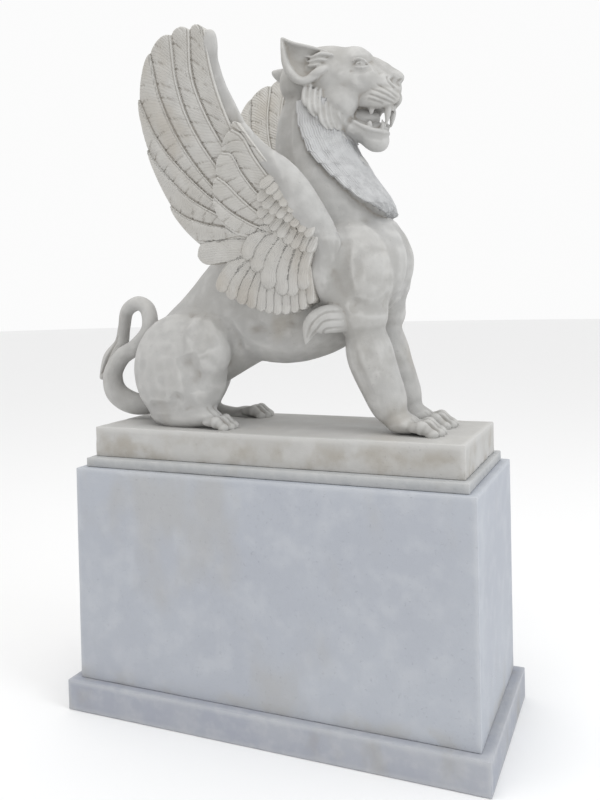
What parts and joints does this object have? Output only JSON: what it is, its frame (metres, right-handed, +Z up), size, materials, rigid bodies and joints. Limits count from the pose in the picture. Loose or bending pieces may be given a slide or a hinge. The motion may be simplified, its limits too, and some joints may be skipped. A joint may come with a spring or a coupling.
{
  "type": "lioness statue",
  "caption": "Carved limestone statue of a seated winged lioness snarling, in one with its slab, on a stone pedestal of block courses.",
  "frame": {"origin": "middle of the pedestal's underside, on the ground", "axes": "+Z up, +X the way the lioness faces, +Y her left side"},
  "size_m": [1.6382, 0.9043, 2.4898],
  "materials": {
    "carved_limestone": "pale cream limestone, rubbed smooth, faint mottling",
    "step_limestone": "warm grey-beige limestone, sawn and rubbed, blotchy",
    "die_limestone": "cool grey-white limestone, honed, faint clouds",
    "base_limestone": "grey-beige limestone, sawn, blotchy"
  },
  "bodies": {
    "root": {"lioness": "carved_limestone", "cap_step": "step_limestone", "die": "die_limestone", "base_course": "base_limestone"}
  },
  "joints": []
}
